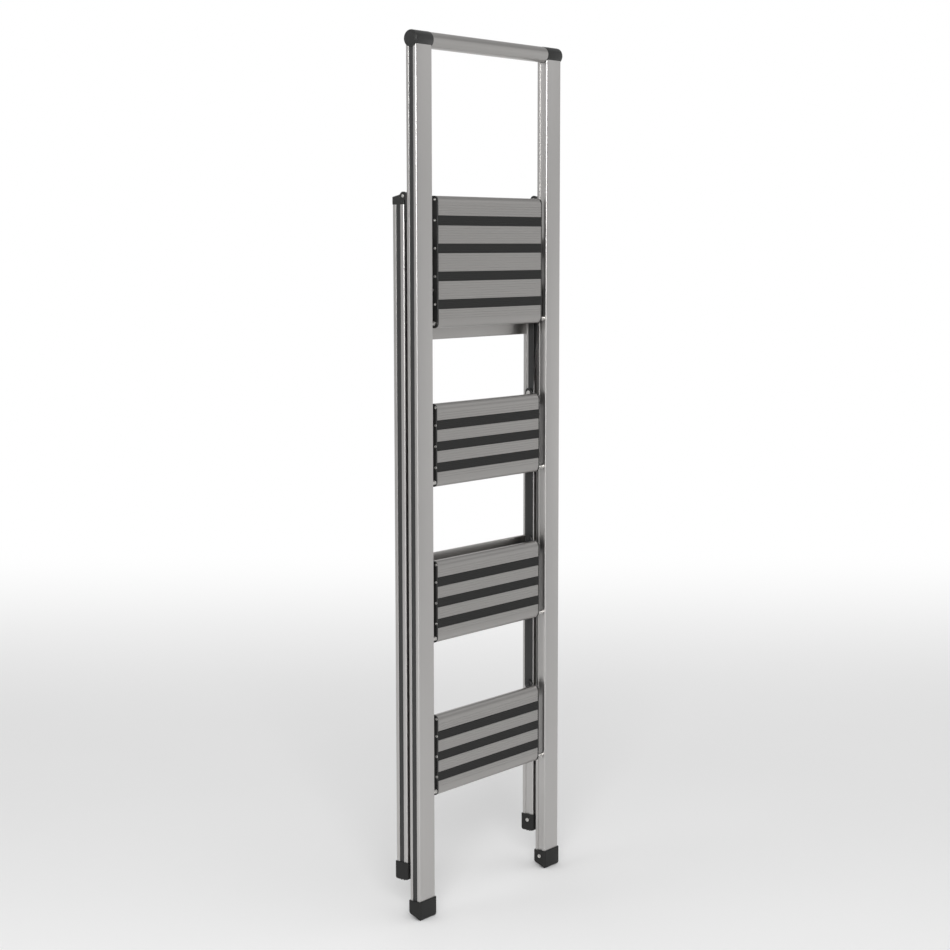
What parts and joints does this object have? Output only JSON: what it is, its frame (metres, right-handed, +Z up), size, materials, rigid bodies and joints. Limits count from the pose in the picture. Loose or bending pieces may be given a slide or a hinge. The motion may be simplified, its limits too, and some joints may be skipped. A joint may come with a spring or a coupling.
{
  "type": "step ladder",
  "caption": "Folding aluminium step ladder with a platform, treads that fold flat between the stiles, a rear frame and a round handle bar.",
  "frame": {"origin": "on the floor, at the middle of the folded ladder's width and depth", "axes": "+X across the ladder to its right as the climber faces it, +Y from the climbing side to the rear, +Z up the stiles"},
  "size_m": [0.404, 0.054, 1.435],
  "materials": {
    "anodised_aluminium": "satin anodised",
    "black_moulding": "fine moulded texture",
    "foot_rubber": "matte",
    "strip_rubber": "fine grit",
    "black_steel": "powder coated black",
    "bright_steel": "zinc plated"
  },
  "bodies": {
    "front_frame": {"front_foot_screws": "bright_steel", "front_left_foot": "foot_rubber", "front_left_insert": "black_moulding", "front_left_stile": "anodised_aluminium", "front_right_foot": "foot_rubber", "front_right_insert": "black_moulding", "front_right_stile": "anodised_aluminium", "handle_tube": "anodised_aluminium", "hinge_pins": "bright_steel", "left_handle_cap": "black_moulding", "left_hinge_bracket": "black_moulding", "pivot_bushes": "bright_steel", "right_handle_cap": "black_moulding", "right_hinge_bracket": "black_moulding", "tread_pivots": "bright_steel"},
    "platform": {"platform_board": "anodised_aluminium", "platform_left_cap": "black_moulding", "platform_link_pins": "bright_steel", "platform_right_cap": "black_moulding", "platform_screws": "bright_steel", "platform_strips": "strip_rubber", "stay_pins": "bright_steel"},
    "lower_tread": {"lower_tread_board": "anodised_aluminium", "lower_tread_left_cap": "black_moulding", "lower_tread_link_pins": "black_steel", "lower_tread_right_cap": "black_moulding", "lower_tread_screws": "bright_steel", "lower_tread_strips": "strip_rubber"},
    "middle_tread": {"middle_tread_board": "anodised_aluminium", "middle_tread_left_cap": "black_moulding", "middle_tread_link_pins": "black_steel", "middle_tread_right_cap": "black_moulding", "middle_tread_screws": "bright_steel", "middle_tread_strips": "strip_rubber"},
    "upper_tread": {"upper_tread_board": "anodised_aluminium", "upper_tread_left_cap": "black_moulding", "upper_tread_link_pins": "bright_steel", "upper_tread_right_cap": "black_moulding", "upper_tread_screws": "bright_steel", "upper_tread_strips": "strip_rubber"},
    "left_link": {"left_link_bar": "black_steel", "left_link_strap": "black_steel"},
    "right_link": {"right_link_bar": "black_steel", "right_link_strap": "black_steel"},
    "left_stay": {"left_stay": "black_steel", "left_stay_rivet": "bright_steel"},
    "right_stay": {"right_stay": "black_steel", "right_stay_rivet": "bright_steel"},
    "rear_frame": {"rear_foot_screws": "bright_steel", "rear_left_foot": "foot_rubber", "rear_left_hinge_cap": "black_moulding", "rear_left_insert": "black_moulding", "rear_left_stile": "anodised_aluminium", "rear_lower_crossbar": "anodised_aluminium", "rear_right_foot": "foot_rubber", "rear_right_hinge_cap": "black_moulding", "rear_right_insert": "black_moulding", "rear_right_stile": "anodised_aluminium", "rear_upper_crossbar": "anodised_aluminium"}
  },
  "joints": [
    {"name": "platform_fold", "type": "hinge", "parent": "front_frame", "child": "platform", "pos_m": [0, -0.0155, 0.977], "axis": [-1, 0, 0], "range_deg": [0, 68]},
    {"name": "lower_tread_fold", "type": "hinge", "parent": "front_frame", "child": "lower_tread", "pos_m": [0, -0.0155, 0.2066], "axis": [-1, 0, 0], "range_deg": [0, 68]},
    {"name": "middle_tread_fold", "type": "hinge", "parent": "front_frame", "child": "middle_tread", "pos_m": [0, -0.0155, 0.4634], "axis": [-1, 0, 0], "range_deg": [0, 68]},
    {"name": "upper_tread_fold", "type": "hinge", "parent": "front_frame", "child": "upper_tread", "pos_m": [0, -0.0155, 0.7202], "axis": [-1, 0, 0], "range_deg": [0, 68]},
    {"name": "rear_frame_swing", "type": "hinge", "parent": "front_frame", "child": "rear_frame", "pos_m": [0, 0.004, 1.179], "axis": [1, 0, 0], "range_deg": [0, 35.67]},
    {"name": "left_link_swing", "type": "hinge", "parent": "platform", "child": "left_link", "pos_m": [-0.148, 0.0025, 1.105], "axis": [1, 0, 0], "range_deg": [0, 68]},
    {"name": "left_stay_swing", "type": "hinge", "parent": "platform", "child": "left_stay", "pos_m": [-0.155, -0.0115, 1.03], "axis": [1, 0, 0], "range_deg": [0, 125.9]},
    {"name": "right_link_swing", "type": "hinge", "parent": "platform", "child": "right_link", "pos_m": [0.148, 0.0025, 1.105], "axis": [1, 0, 0], "range_deg": [0, 68]},
    {"name": "right_stay_swing", "type": "hinge", "parent": "platform", "child": "right_stay", "pos_m": [0.155, -0.0115, 1.03], "axis": [1, 0, 0], "range_deg": [0, 125.9]}
  ],
  "couplings": [
    {"joint": "lower_tread_fold", "follows": "platform_fold", "ratio": 1},
    {"joint": "middle_tread_fold", "follows": "platform_fold", "ratio": 1},
    {"joint": "upper_tread_fold", "follows": "platform_fold", "ratio": 1},
    {"joint": "rear_frame_swing", "follows": "platform_fold", "ratio": 0.5245},
    {"joint": "left_link_swing", "follows": "platform_fold", "ratio": 1},
    {"joint": "left_stay_swing", "follows": "platform_fold", "ratio": 1.8514},
    {"joint": "right_link_swing", "follows": "platform_fold", "ratio": 1},
    {"joint": "right_stay_swing", "follows": "platform_fold", "ratio": 1.8514}
  ]
}
